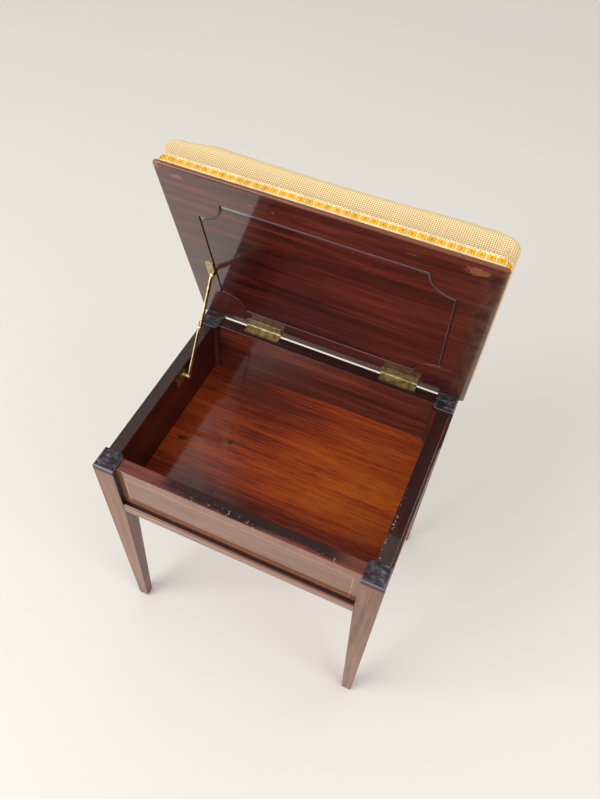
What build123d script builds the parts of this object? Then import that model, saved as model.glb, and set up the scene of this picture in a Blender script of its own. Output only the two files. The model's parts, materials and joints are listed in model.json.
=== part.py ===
"""Piano stool with a lift-up upholstered lid over a shallow music well.

Millimetres, +Z up, X along the front rail, Y towards the hinges. The origin lies on the floor,
midway between the four legs. The lid is modelled raised, propped by its straight folding stay.
"""
import os
from math import atan2, cos, degrees, hypot, radians, sin, sqrt

from build123d import *

# Frame
FRAME_WIDTH = 465.0
FRAME_DEPTH = 360.0
LEG_HEIGHT = 495.0
LEG_SIZE = 35.0
LEG_INNER_RADIUS = 8.0
LEG_TOP_CHAMFER = 2.2
FOOT_SIZE = 18.0
FOOT_INNER_RADIUS = 3.0
FOOT_CHAMFER = 1.2
RAIL_HEIGHT = 115.5
RAIL_THICKNESS = 21.0
RAIL_ARRIS = 0.8
FRONT_SETBACK = 9.0
SIDE_SETBACK = 5.0
BACK_SETBACK = 5.0
TENON_LENGTH = 14.0
TENON_THICKNESS = 8.0
TENON_SHOULDER = 8.0
TENON_CLEARANCE = 0.1
MORTISE_SPARE = 1.0

# Moulding along the foot of each rail
MOULDING_HEIGHT = 20.0
MOULDING_INSET = 0.5
MOULDING_NOSE = 3.6

# Floor of the music well, two boards held in grooves
FLOOR_THICKNESS = 8.0
FLOOR_RISE = 13.0
FLOOR_GROOVE = 5.0
FLOOR_CLEARANCE = 0.4
FLOOR_SEAM_Y = -8.0
FLOOR_SEAM_GAP = 0.4

# Line inlay on the front rail
STRING_WIDTH = 2.0
STRING_DEPTH = 1.5
STRING_SIDE_MARGIN = 11.0
STRING_TOP_MARGIN = 19.0
STRING_LOW_MARGIN = 5.0
INLAY_CLEARANCE = 0.03

# Lid
LID_ANGLE = 75.3
LID_OVERHANG = 7.5
LID_SEAT_GAP = 0.3
BOARD_THICKNESS = 6.5
BOARD_CORNER = 6.0
BOARD_NOSE = 3.0
PLINTH_HEIGHT = 15.0
PLINTH_CORNER = 9.0
LEDGE = 6.0
PANEL_MARGIN = 52.0
SCOOP_RADIUS = 40.0
PANEL_GROOVE_WIDTH = 1.6
PANEL_GROOVE_DEPTH = 1.8
PANEL_GROOVE_CHAMFER = 1.3

# Upholstery
COVER_THICKNESS = 1.2
STUFFING_CLEARANCE = 0.3
STUFFING_INSET = 14.0
STUFFING_HEIGHT = 26.0
STUFFING_CORNER = 12.0
GIMP_HEIGHT = 14.6
GIMP_THICKNESS = 1.6
GIMP_CLEARANCE = 0.8
TACK_SPACING = 52.0
TACK_HEAD_RADIUS = 2.6
TACK_HEAD_THICKNESS = 0.5
TACK_RADIUS = 0.7
TACK_LENGTH = 8.0
TACK_CLEARANCE = 0.05

# Cushion stations: height over the plinth, swell past the plinth, plan corner radius
PAD_STATIONS = [
    (0.0, COVER_THICKNESS, PLINTH_CORNER + COVER_THICKNESS),
    (5.0, 5.0, 14.0),
    (13.5, 8.6, 19.0),
    (21.5, 7.6, 22.0),
    (27.5, 2.6, 24.0),
    (31.5, -5.0, 26.0),
    (35.5, -20.0, 32.0),
    (38.5, -50.0, 40.0),
    (40.5, -100.0, 50.0),
]

# Butt hinges
HINGE_LENGTH = 64.0
HINGE_FROM_LEFT = 112.0
HINGE_FROM_RIGHT = 104.0
LEAF_WIDTH = 16.2
LEAF_THICKNESS = 1.7
LEAF_PLAY = 0.2
KNUCKLE_COUNT = 5
KNUCKLE_RADIUS = 3.0
KNUCKLE_GAP = 0.3
BARREL_CLEARANCE = 0.2
LEAF_RELIEF = 0.5
PIN_RADIUS = 1.6
PIN_CLEARANCE = 0.08
LEAF_SCREW_PITCH = 22.0

# Countersunk wood screws
SCREW_RADIUS = 1.2
SCREW_LENGTH = 9.0
SCREW_HEAD_RADIUS = 2.5
SCREW_HEAD_DEPTH = 1.3
SCREW_SLOT_WIDTH = 0.7
SCREW_SLOT_DEPTH = 0.5
PILOT_CLEARANCE = 0.05
PILOT_SPARE = 0.5

# Folding stay
STAY_REACH = 136.5
LID_PIVOT_DROP = 7.0
WALL_PIVOT_DROP = 21.0
STAY_LEG_CLEARANCE = 0.5
ARM_WIDTH = 9.0
ARM_THICKNESS = 1.8
ARM_GAP = 0.3
EYE_RADIUS = 5.0
ELBOW_RADIUS = 6.0
RIVET_RADIUS = 2.0
RIVET_CLEARANCE = 0.1
RIVET_HEAD_RADIUS = 3.8
RIVET_HEAD_THICKNESS = 1.0
RIVET_HEAD_FILLET = 0.8
PLATE_THICKNESS = 1.6
BOSS_RADIUS = 4.5
WALL_PLATE_LENGTH = 30.0
WALL_PLATE_HEIGHT = 20.0
WALL_PLATE_AHEAD = 9.0
WALL_SCREW_PLACES = (-21.0, -12.0)
LID_PLATE_LENGTH = 32.0
LID_PLATE_WIDTH = 13.0
LID_PLATE_OFFSET = 8.0
LID_SCREW_PITCH = 20.0

# Heights and hinge line worked out from the sizes above
CLOSED_LEAF = LEAF_THICKNESS + LEAF_PLAY
LID_UNDERSIDE = LEG_HEIGHT + LID_SEAT_GAP
RAIL_TOP = LID_UNDERSIDE - 2 * CLOSED_LEAF
RAIL_BOTTOM = RAIL_TOP - RAIL_HEIGHT
FLOOR_TOP = RAIL_BOTTOM + FLOOR_RISE
HINGE_Y = FRAME_DEPTH / 2 - BACK_SETBACK + KNUCKLE_RADIUS + BARREL_CLEARANCE
HINGE_Z = RAIL_TOP + CLOSED_LEAF
HINGE_CENTRES = {
    "left": HINGE_FROM_LEFT - FRAME_WIDTH / 2,
    "right": FRAME_WIDTH / 2 - HINGE_FROM_RIGHT,
}

# The lid's own frame: its origin on the hinge line, X along the hinges, Z out of the seat
TILT = radians(LID_ANGLE)
LID = Plane(origin=(0, HINGE_Y, HINGE_Z), x_dir=(1, 0, 0), z_dir=(0, sin(TILT), cos(TILT)))
BOX = Plane(origin=(0, HINGE_Y, HINGE_Z), x_dir=(1, 0, 0), z_dir=(0, 0, 1))
LID_AXIS = Axis(LID.origin, LID.z_dir)
LID_WIDTH = FRAME_WIDTH + 2 * LID_OVERHANG
LID_FRONT = -(FRAME_DEPTH / 2 + LID_OVERHANG + HINGE_Y)
LID_BACK = FRAME_DEPTH / 2 + LID_OVERHANG - HINGE_Y
LID_DEPTH = LID_BACK - LID_FRONT
LID_MIDDLE = (LID_FRONT + LID_BACK) / 2
LEDGE_TOP = CLOSED_LEAF + BOARD_THICKNESS
PLINTH_TOP = LEDGE_TOP + PLINTH_HEIGHT
PLINTH_WIDTH = LID_WIDTH - 2 * LEDGE
PLINTH_DEPTH = LID_DEPTH - 2 * LEDGE

# Each side of the frame: outward direction, outer face of the rail, gap between the legs
SPAN_X = FRAME_WIDTH - 2 * LEG_SIZE
SPAN_Y = FRAME_DEPTH - 2 * LEG_SIZE
SIDES = {
    "front": (Vector(0, -1, 0), FRAME_DEPTH / 2 - FRONT_SETBACK, SPAN_X, FRONT_SETBACK),
    "back": (Vector(0, 1, 0), FRAME_DEPTH / 2 - BACK_SETBACK, SPAN_X, BACK_SETBACK),
    "left": (Vector(-1, 0, 0), FRAME_WIDTH / 2 - SIDE_SETBACK, SPAN_Y, SIDE_SETBACK),
    "right": (Vector(1, 0, 0), FRAME_WIDTH / 2 - SIDE_SETBACK, SPAN_Y, SIDE_SETBACK),
}
WELL_LEFT = -(FRAME_WIDTH / 2 - SIDE_SETBACK - RAIL_THICKNESS)
WELL_FRONT = -(FRAME_DEPTH / 2 - FRONT_SETBACK - RAIL_THICKNESS)
WELL_BACK = FRAME_DEPTH / 2 - BACK_SETBACK - RAIL_THICKNESS

# Stay planes across X, from the left wall inwards, and its three pivots
LOWER_ARM_X = -(FRAME_WIDTH / 2 - LEG_SIZE) + STAY_LEG_CLEARANCE
UPPER_ARM_X = LOWER_ARM_X + ARM_THICKNESS + ARM_GAP
LID_EAR_X = UPPER_ARM_X + ARM_THICKNESS + ARM_GAP
LID_PIVOT_Z = CLOSED_LEAF - LID_PIVOT_DROP
LID_PIVOT_Y = -sqrt(STAY_REACH**2 - LID_PIVOT_Z**2)
LID_PIVOT = LID.from_local_coords(Vector(0, LID_PIVOT_Y, LID_PIVOT_Z))
WALL_PIVOT_Z = LEG_HEIGHT - WALL_PIVOT_DROP
WALL_PIVOT_Y = HINGE_Y - sqrt(STAY_REACH**2 - (HINGE_Z - WALL_PIVOT_Z) ** 2)
WALL_PIVOT = Vector(0, WALL_PIVOT_Y, WALL_PIVOT_Z)
ELBOW = (LID_PIVOT + WALL_PIVOT) / 2
STAY_ANGLE = degrees(atan2(LID_PIVOT.Z - WALL_PIVOT.Z, LID_PIVOT.Y - WALL_PIVOT.Y))
ARM_LENGTH = hypot(LID_PIVOT.Y - WALL_PIVOT.Y, LID_PIVOT.Z - WALL_PIVOT.Z) / 2


def save(piece, name):
    """Label a finished piece and write its STEP file."""
    piece.part.label = name
    export_step(piece.part, f"parts/{name}.step")


def side_plane(name):
    """Upright plane across a rail at mid length: X outwards from the rail's face, Y up."""
    outward, face, _, _ = SIDES[name]
    return Plane(origin=outward * face, x_dir=outward, z_dir=outward.cross(Vector(0, 0, 1)))


def across(x):
    """Plane square to X at the given place, with sketch X along Y and sketch Y upwards."""
    return Plane(origin=(x, 0, 0), x_dir=(0, 1, 0), z_dir=(1, 0, 0))


def lid_across(x):
    """The same as across, turned with the lid about the hinge line."""
    return Plane(origin=LID.from_local_coords(Vector(x, 0, 0)), x_dir=LID.y_dir, z_dir=LID.x_dir)


# Places of the screws: each plane lies on a screw's head, its Z out of the wood
LEAF_SCREW_Y = -(LEAF_WIDTH + KNUCKLE_RADIUS + LEAF_RELIEF) / 2


def leaf_seats(hinge, plane, height, outwards):
    """Screw seats of one leaf, in a row along the hinge."""
    middle = HINGE_CENTRES[hinge]
    seats = []
    for step in (-1, 0, 1):
        spot = Vector(middle + step * LEAF_SCREW_PITCH, LEAF_SCREW_Y, height)
        seats.append(Plane(plane.from_local_coords(spot), plane.x_dir, plane.z_dir * outwards))
    return seats


RAIL_LEAF_SEATS = {hinge: leaf_seats(hinge, BOX, -LEAF_PLAY, 1) for hinge in HINGE_CENTRES}
LID_LEAF_SEATS = {hinge: leaf_seats(hinge, LID, LEAF_PLAY, -1) for hinge in HINGE_CENTRES}
LID_PLATE_X = LID_EAR_X + PLATE_THICKNESS - LID_PLATE_WIDTH / 2
LID_PLATE_Y = LID_PIVOT_Y - LID_PLATE_OFFSET
LID_PLATE_SEATS = [
    Plane(
        LID.from_local_coords(Vector(LID_PLATE_X, LID_PLATE_Y + reach, CLOSED_LEAF - PLATE_THICKNESS)),
        LID.x_dir,
        LID.z_dir * -1,
    )
    for reach in (-LID_SCREW_PITCH / 2, LID_SCREW_PITCH / 2)
]
WALL_PLATE_Y = WALL_PIVOT_Y - WALL_PLATE_AHEAD
WALL_PLATE_SEATS = [
    Plane((WELL_LEFT + PLATE_THICKNESS, WALL_PIVOT_Y + reach, WALL_PIVOT_Z), (0, 1, 0), (1, 0, 0))
    for reach in WALL_SCREW_PLACES
]


def wood_screws(name, seats):
    """Slotted countersunk screws, one solid at each seat, as one group."""
    with BuildPart() as screws:
        with Locations(*[seat.location for seat in seats]):
            Cylinder(SCREW_RADIUS, SCREW_LENGTH, align=(Align.CENTER, Align.CENTER, Align.MAX))
            Cone(
                SCREW_RADIUS,
                SCREW_HEAD_RADIUS,
                SCREW_HEAD_DEPTH,
                align=(Align.CENTER, Align.CENTER, Align.MAX),
            )
            Box(
                2 * SCREW_HEAD_RADIUS,
                SCREW_SLOT_WIDTH,
                2 * SCREW_SLOT_DEPTH,
                mode=Mode.SUBTRACT,
            )
    save(screws, name)


def pilot_holes(seats):
    """Cut the holes that the screws' shanks turn into, in the part being built."""
    with Locations(*[seat.location for seat in seats]):
        Cylinder(
            SCREW_RADIUS + PILOT_CLEARANCE,
            SCREW_LENGTH + PILOT_SPARE,
            align=(Align.CENTER, Align.CENTER, Align.MAX),
            mode=Mode.SUBTRACT,
        )


def countersinks(seats):
    """Cut the seats of the screw heads, in the part being built."""
    with Locations(*[seat.location for seat in seats]):
        Cone(
            SCREW_RADIUS + PILOT_CLEARANCE,
            SCREW_HEAD_RADIUS + PILOT_CLEARANCE,
            SCREW_HEAD_DEPTH + PILOT_CLEARANCE,
            align=(Align.CENTER, Align.CENTER, Align.MAX),
            mode=Mode.SUBTRACT,
        )


def rivet(name, plane, start, end, head_at_end):
    """Rivet along the plane's Z from start to end, with a domed head on one end."""
    with BuildPart() as pin:
        with BuildSketch(plane.offset(start)):
            Circle(RIVET_RADIUS)
        extrude(amount=end - start)
        with BuildSketch(plane.offset(end if head_at_end else start)):
            Circle(RIVET_HEAD_RADIUS)
        extrude(amount=RIVET_HEAD_THICKNESS if head_at_end else -RIVET_HEAD_THICKNESS)
        rim = pin.edges().filter_by(GeomType.CIRCLE).sort_by(Axis(plane.origin, plane.z_dir))
        fillet(rim[-1] if head_at_end else rim[0], RIVET_HEAD_FILLET)
    save(pin, name)


# Legs
def leg_corner(side, end, size, radius):
    """Square leg section in its corner of the frame, with its inner corner rounded."""
    with Locations((side * (FRAME_WIDTH - size) / 2, end * (FRAME_DEPTH - size) / 2)):
        square = Rectangle(size, size)
    fillet(square.vertices().sort_by_distance((0, 0, 0))[0], radius)


def mortise(name, side, end):
    """Cut the blind mortise for the tenon of the named rail into a leg."""
    outward, face, span, _ = SIDES[name]
    along_x = outward.X == 0
    reach = TENON_LENGTH + MORTISE_SPARE
    middle = face - RAIL_THICKNESS / 2
    size = TENON_THICKNESS + 2 * TENON_CLEARANCE
    height = RAIL_HEIGHT - 2 * TENON_SHOULDER + 2 * TENON_CLEARANCE
    level = (RAIL_TOP + RAIL_BOTTOM) / 2
    start = (span + reach) / 2
    if along_x:
        with Locations((side * start, end * middle, level)):
            Box(reach, size, height, mode=Mode.SUBTRACT)
    else:
        with Locations((side * middle, end * start, level)):
            Box(size, reach, height, mode=Mode.SUBTRACT)


def make_leg(name, side, end):
    """Leg square at the rails and tapered on its two inner faces down to the foot."""
    outer_x = side * FRAME_WIDTH / 2
    outer_y = end * FRAME_DEPTH / 2
    with BuildPart() as leg:
        with BuildSketch(Plane.XY.offset(RAIL_BOTTOM)):
            leg_corner(side, end, LEG_SIZE, LEG_INNER_RADIUS)
        extrude(amount=LEG_HEIGHT - RAIL_BOTTOM)
        with BuildSketch(Plane.XY.offset(RAIL_BOTTOM)):
            leg_corner(side, end, LEG_SIZE, LEG_INNER_RADIUS)
        with BuildSketch(Plane.XY):
            leg_corner(side, end, FOOT_SIZE, FOOT_INNER_RADIUS)
        loft()
        top_edges = leg.faces().sort_by(Axis.Z)[-1].edges()
        outer = top_edges.sort_by_distance((outer_x, outer_y, LEG_HEIGHT))[:2]
        chamfer(outer, LEG_TOP_CHAMFER)
        chamfer(leg.faces().sort_by(Axis.Z)[0].edges(), FOOT_CHAMFER)
        mortise("front" if end < 0 else "back", side, end)
        mortise("left" if side < 0 else "right", side, end)
    save(leg, name)


# Rails, mouldings and line inlay
def make_rail(name):
    """Rail with a tenon on each end and a groove inside for the floor boards."""
    _, _, span, _ = SIDES[name]
    with BuildPart() as rail:
        with BuildSketch(side_plane(name)):
            with Locations((-RAIL_THICKNESS / 2, RAIL_BOTTOM + RAIL_HEIGHT / 2)):
                Rectangle(RAIL_THICKNESS, RAIL_HEIGHT)
        extrude(amount=span / 2, both=True)
        fillet(rail.faces().sort_by(Axis.Z)[-1].edges().sort_by(SortBy.LENGTH)[-2:], RAIL_ARRIS)
        with BuildSketch(side_plane(name)):
            with Locations((-RAIL_THICKNESS / 2, RAIL_BOTTOM + RAIL_HEIGHT / 2)):
                Rectangle(TENON_THICKNESS, RAIL_HEIGHT - 2 * TENON_SHOULDER)
        extrude(amount=span / 2 + TENON_LENGTH, both=True)
        with BuildSketch(side_plane(name)):
            with Locations((-RAIL_THICKNESS, FLOOR_TOP)):
                Rectangle(
                    FLOOR_GROOVE,
                    FLOOR_THICKNESS + FLOOR_CLEARANCE,
                    align=(Align.MIN, Align.MAX),
                )
        extrude(amount=span / 2, both=True, mode=Mode.SUBTRACT)
        if name == "front":
            extrude(line_frame(INLAY_CLEARANCE), amount=-STRING_DEPTH, mode=Mode.SUBTRACT)
        if name == "back":
            for seats in RAIL_LEAF_SEATS.values():
                pilot_holes(seats)
        if name == "left":
            pilot_holes(WALL_PLATE_SEATS)
            with Locations(across(WELL_LEFT).location * Location((WALL_PIVOT_Y, WALL_PIVOT_Z))):
                Cylinder(
                    RIVET_RADIUS + RIVET_CLEARANCE,
                    2 * RIVET_HEAD_THICKNESS,
                    mode=Mode.SUBTRACT,
                )
    save(rail, f"rail_{name}")


LINE_WIDTH = SPAN_X - 2 * STRING_SIDE_MARGIN
LINE_LOW = RAIL_BOTTOM + MOULDING_HEIGHT + STRING_LOW_MARGIN
LINE_HEIGHT = RAIL_TOP - STRING_TOP_MARGIN - LINE_LOW


def line_frame(grow):
    """Rectangle of thin line on the face of the front rail, made wider by grow."""
    face = Plane(
        (0, -SIDES["front"][1], LINE_LOW + LINE_HEIGHT / 2), x_dir=(1, 0, 0), z_dir=(0, -1, 0)
    )
    inside = 2 * STRING_WIDTH + grow
    with BuildSketch(face) as line:
        Rectangle(LINE_WIDTH + grow, LINE_HEIGHT + grow)
        Rectangle(LINE_WIDTH - inside, LINE_HEIGHT - inside, mode=Mode.SUBTRACT)
    return line.sketch


def make_moulding(name):
    """Moulded strip on the foot of a rail: flat ledge, rounded nose, upright face."""
    _, _, span, setback = SIDES[name]
    reach = setback - MOULDING_INSET
    with BuildPart() as strip:
        with BuildSketch(side_plane(name)) as section:
            with Locations((0, RAIL_BOTTOM)):
                Rectangle(reach, MOULDING_HEIGHT, align=(Align.MIN, Align.MIN))
            nose = section.vertices().sort_by(Axis.X)[-2:].sort_by(Axis.Y)[-1]
            fillet(nose, MOULDING_NOSE)
        extrude(amount=span / 2, both=True)
    save(strip, f"moulding_{name}")


def make_floor_board(name, front, back):
    """Floor board of the well, notched round the two legs on its side."""
    edge = WELL_LEFT - FLOOR_GROOVE + FLOOR_CLEARANCE
    notch = LEG_SIZE + FLOOR_CLEARANCE
    end = -1 if name == "front" else 1
    with BuildPart() as board:
        with BuildSketch(Plane.XY.offset(FLOOR_TOP)):
            with Locations((0, (front + back) / 2)):
                Rectangle(-2 * edge, back - front)
        extrude(amount=-FLOOR_THICKNESS)
        for side in (-1, 1):
            with BuildSketch(Plane.XY.offset(FLOOR_TOP)):
                leg_corner(side, end, notch, LEG_INNER_RADIUS)
            extrude(amount=-FLOOR_THICKNESS, mode=Mode.SUBTRACT)
    save(board, f"floor_board_{name}")


# Butt hinges
KNUCKLE_LENGTH = (HINGE_LENGTH - (KNUCKLE_COUNT - 1) * KNUCKLE_GAP) / KNUCKLE_COUNT


def knuckle_places(hinge, first):
    """Middles along X of every second knuckle, starting with the given one."""
    left_end = HINGE_CENTRES[hinge] - HINGE_LENGTH / 2 + KNUCKLE_LENGTH / 2
    return [left_end + i * (KNUCKLE_LENGTH + KNUCKLE_GAP) for i in range(first, KNUCKLE_COUNT, 2)]


def make_leaf(name, hinge, plane, low, first, seats):
    """Hinge leaf: plate, its share of the knuckles, and countersunk screw holes."""
    inner = KNUCKLE_RADIUS + LEAF_RELIEF
    places = knuckle_places(hinge, first)
    with BuildPart() as leaf:
        with BuildSketch(plane.offset(low)):
            with Locations((HINGE_CENTRES[hinge], -inner)):
                Rectangle(HINGE_LENGTH, LEAF_WIDTH - inner, align=(Align.CENTER, Align.MAX))
            with Locations(*[(x, 0) for x in places]):
                Rectangle(KNUCKLE_LENGTH, inner, align=(Align.CENTER, Align.MAX))
        extrude(amount=LEAF_THICKNESS)
        barrel = [plane.location * Location((x, 0, 0), (0, 90, 0)) for x in places]
        with Locations(*barrel):
            Cylinder(KNUCKLE_RADIUS, KNUCKLE_LENGTH)
            Cylinder(PIN_RADIUS + PIN_CLEARANCE, KNUCKLE_LENGTH, mode=Mode.SUBTRACT)
        countersinks(seats)
        pilot_holes(seats)
    save(leaf, name)


def make_hinge_pin(name, hinge):
    """Pin through the knuckles of one hinge."""
    with BuildPart() as pin:
        with Locations(BOX.location * Location((HINGE_CENTRES[hinge], 0, 0), (0, 90, 0))):
            Cylinder(PIN_RADIUS, HINGE_LENGTH)
    save(pin, name)


# Lid and upholstery
def lid_outline(height, width, depth, corner):
    """Rounded rectangle centred on the lid, at a height in the lid's frame."""
    with BuildSketch(LID.offset(height)) as outline:
        with Locations((0, LID_MIDDLE)):
            RectangleRounded(width, depth, corner)
    return outline.sketch


def skirt_outline(grow):
    """Outline of the plinth at the ledge, enlarged all round."""
    width = PLINTH_WIDTH + 2 * grow
    depth = PLINTH_DEPTH + 2 * grow
    return lid_outline(LEDGE_TOP, width, depth, PLINTH_CORNER + grow)


def panel_outline(grow):
    """Panel on the underside with scooped corners, enlarged all round."""
    width = LID_WIDTH - 2 * PANEL_MARGIN
    depth = LID_DEPTH - 2 * PANEL_MARGIN
    with BuildSketch(LID.offset(CLOSED_LEAF)) as panel:
        with Locations((0, LID_MIDDLE)):
            Rectangle(width + 2 * grow, depth + 2 * grow)
            with GridLocations(width, depth, 2, 2):
                Circle(SCOOP_RADIUS - grow, mode=Mode.SUBTRACT)
    return panel.sketch


def tack_seats():
    """Planes on the cover round the plinth, one for each tack, with Z outwards."""
    level = LEDGE_TOP + PLINTH_HEIGHT / 2
    across_count = round(PLINTH_WIDTH / TACK_SPACING)
    along_count = round(PLINTH_DEPTH / TACK_SPACING)
    seats = []
    for way in (-1, 1):
        row_y = LID_MIDDLE + way * (PLINTH_DEPTH / 2 + COVER_THICKNESS)
        for i in range(across_count):
            x = (i + 0.5) * PLINTH_WIDTH / across_count - PLINTH_WIDTH / 2
            spot = LID.from_local_coords(Vector(x, row_y, level))
            seats.append(Plane(spot, LID.x_dir, LID.y_dir * way))
        row_x = way * (PLINTH_WIDTH / 2 + COVER_THICKNESS)
        for i in range(along_count):
            y = LID_MIDDLE + (i + 0.5) * PLINTH_DEPTH / along_count - PLINTH_DEPTH / 2
            spot = LID.from_local_coords(Vector(row_x, y, level))
            seats.append(Plane(spot, LID.y_dir, LID.x_dir * way))
    return seats


def tack_holes():
    """Cut the holes that the tacks make, in the part being built."""
    with Locations(*[seat.location for seat in tack_seats()]):
        Cylinder(
            TACK_RADIUS + TACK_CLEARANCE,
            2 * (TACK_LENGTH + TACK_CLEARANCE),
            mode=Mode.SUBTRACT,
        )


def make_lid_board():
    """Lid board with a rounded edge, a plinth for the upholstery, a grooved underside and hinge hollows."""
    with BuildPart() as board:
        edge = lid_outline(CLOSED_LEAF, LID_WIDTH, LID_DEPTH, BOARD_CORNER)
        extrude(edge, amount=BOARD_THICKNESS)
        flats = board.faces().sort_by(LID_AXIS)
        fillet(flats[0].edges() + flats[-1].edges(), BOARD_NOSE)
        extrude(skirt_outline(0), amount=PLINTH_HEIGHT)
        half = PANEL_GROOVE_WIDTH / 2
        extrude(panel_outline(half), amount=PANEL_GROOVE_DEPTH, mode=Mode.SUBTRACT)
        extrude(panel_outline(-half), amount=PANEL_GROOVE_DEPTH)
        underside = board.faces().filter_by(LID_AXIS).group_by(LID_AXIS)[0]
        panel, surround = underside.sort_by(lambda face: len(face.inner_wires()))
        lips = panel.outer_wire().edges() + surround.inner_wires()[0].edges()
        chamfer(lips, PANEL_GROOVE_CHAMFER)
        for hinge, seats in LID_LEAF_SEATS.items():
            with Locations(LID.location * Location((HINGE_CENTRES[hinge], 0, 0), (0, 90, 0))):
                Cylinder(
                    KNUCKLE_RADIUS + LEAF_RELIEF,
                    HINGE_LENGTH + 2 * LEAF_RELIEF,
                    mode=Mode.SUBTRACT,
                )
            pilot_holes(seats)
        pilot_holes(LID_PLATE_SEATS)
        tack_holes()
    save(board, "lid_board")


def cushion_outlines():
    """Outlines of the crowned cushion from its foot on the plinth to its top."""
    outlines = []
    for height, swell, corner in PAD_STATIONS:
        width = PLINTH_WIDTH + 2 * swell
        depth = PLINTH_DEPTH + 2 * swell
        outlines.append(lid_outline(PLINTH_TOP + height, width, depth, corner))
    return outlines


def stuffing_outline(grow):
    """Outline of the stuffing block on top of the plinth, enlarged all round."""
    width = PLINTH_WIDTH - 2 * STUFFING_INSET + 2 * grow
    depth = PLINTH_DEPTH - 2 * STUFFING_INSET + 2 * grow
    return lid_outline(PLINTH_TOP, width, depth, STUFFING_CORNER + grow)


def make_stuffing():
    """Firm horsehair block under the cover."""
    with BuildPart() as stuffing:
        extrude(stuffing_outline(0), amount=STUFFING_HEIGHT)
    save(stuffing, "seat_stuffing")


def make_cover():
    """Padded canvas cover with a crown, drawn in to a skirt that wraps the plinth."""
    with BuildPart() as cover:
        loft(cushion_outlines(), ruled=True)
        extrude(skirt_outline(COVER_THICKNESS), amount=PLINTH_HEIGHT)
        extrude(skirt_outline(0), amount=PLINTH_HEIGHT, mode=Mode.SUBTRACT)
        room = stuffing_outline(STUFFING_CLEARANCE)
        extrude(room, amount=STUFFING_HEIGHT + STUFFING_CLEARANCE, mode=Mode.SUBTRACT)
        tack_holes()
    save(cover, "seat_cover")


def make_gimp():
    """Braid glued round the foot of the cover, over the tacks."""
    inside = COVER_THICKNESS + GIMP_CLEARANCE
    with BuildPart() as braid:
        extrude(skirt_outline(inside + GIMP_THICKNESS), amount=GIMP_HEIGHT)
        extrude(skirt_outline(inside), amount=GIMP_HEIGHT, mode=Mode.SUBTRACT)
    save(braid, "gimp_braid")


def make_tacks():
    """Upholstery tacks through the cover into the plinth, as one group."""
    with BuildPart() as tacks:
        with Locations(*[seat.location for seat in tack_seats()]):
            Cylinder(TACK_RADIUS, TACK_LENGTH, align=(Align.CENTER, Align.CENTER, Align.MAX))
            Cylinder(
                TACK_HEAD_RADIUS,
                TACK_HEAD_THICKNESS,
                align=(Align.CENTER, Align.CENTER, Align.MIN),
            )
    save(tacks, "cover_tacks")


# Folding stay
def make_arm(name, x, pivot):
    """Flat arm of the stay from a pivot to the elbow, with an eye at each end."""
    middle = (pivot + ELBOW) / 2
    with BuildPart() as arm:
        with BuildSketch(across(x)):
            with Locations((middle.Y, middle.Z)):
                SlotCenterToCenter(ARM_LENGTH, ARM_WIDTH, rotation=STAY_ANGLE)
            with Locations((pivot.Y, pivot.Z)):
                Circle(EYE_RADIUS)
            with Locations((ELBOW.Y, ELBOW.Z)):
                Circle(ELBOW_RADIUS)
            with Locations((pivot.Y, pivot.Z), (ELBOW.Y, ELBOW.Z)):
                Circle(RIVET_RADIUS + RIVET_CLEARANCE, mode=Mode.SUBTRACT)
        extrude(amount=ARM_THICKNESS)
    save(arm, name)


def make_wall_bracket():
    """Plate on the left wall of the well with the boss that the lower arm turns on."""
    with BuildPart() as bracket:
        with BuildSketch(across(WELL_LEFT)):
            with Locations((WALL_PLATE_Y, WALL_PIVOT_Z)):
                RectangleRounded(WALL_PLATE_LENGTH, WALL_PLATE_HEIGHT, PLATE_THICKNESS)
        extrude(amount=PLATE_THICKNESS)
        with BuildSketch(across(WELL_LEFT)):
            with Locations((WALL_PIVOT_Y, WALL_PIVOT_Z)):
                Circle(BOSS_RADIUS)
        extrude(amount=LOWER_ARM_X - ARM_GAP - WELL_LEFT)
        with BuildSketch(across(WELL_LEFT)):
            with Locations((WALL_PIVOT_Y, WALL_PIVOT_Z)):
                Circle(RIVET_RADIUS + RIVET_CLEARANCE)
        extrude(amount=LOWER_ARM_X - WELL_LEFT, mode=Mode.SUBTRACT)
        countersinks(WALL_PLATE_SEATS)
        pilot_holes(WALL_PLATE_SEATS)
    save(bracket, "stay_wall_bracket")


def make_lid_bracket():
    """Angle plate on the lid's underside with the ear that the upper arm turns on."""
    with BuildPart() as bracket:
        with BuildSketch(LID.offset(CLOSED_LEAF)):
            with Locations((LID_PLATE_X, LID_PLATE_Y)):
                Rectangle(LID_PLATE_WIDTH, LID_PLATE_LENGTH)
        extrude(amount=-PLATE_THICKNESS)
        with BuildSketch(lid_across(LID_EAR_X)):
            with Locations((LID_PIVOT_Y, LID_PIVOT_Z)):
                Circle(EYE_RADIUS)
                Rectangle(2 * EYE_RADIUS, LID_PIVOT_DROP, align=(Align.CENTER, Align.MIN))
                Circle(RIVET_RADIUS + RIVET_CLEARANCE, mode=Mode.SUBTRACT)
        extrude(amount=PLATE_THICKNESS)
        countersinks(LID_PLATE_SEATS)
        pilot_holes(LID_PLATE_SEATS)
    save(bracket, "stay_lid_bracket")


os.makedirs("parts", exist_ok=True)

for side_name, side in (("left", -1), ("right", 1)):
    for end_name, end in (("front", -1), ("back", 1)):
        make_leg(f"leg_{end_name}_{side_name}", side, end)
for rail_name in SIDES:
    make_rail(rail_name)
    make_moulding(rail_name)
with BuildPart() as stringing:
    extrude(line_frame(-INLAY_CLEARANCE), amount=-STRING_DEPTH)
save(stringing, "stringing_front")
floor_reach = FLOOR_GROOVE - FLOOR_CLEARANCE
make_floor_board("front", WELL_FRONT - floor_reach, FLOOR_SEAM_Y - FLOOR_SEAM_GAP / 2)
make_floor_board("back", FLOOR_SEAM_Y + FLOOR_SEAM_GAP / 2, WELL_BACK + floor_reach)

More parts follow.
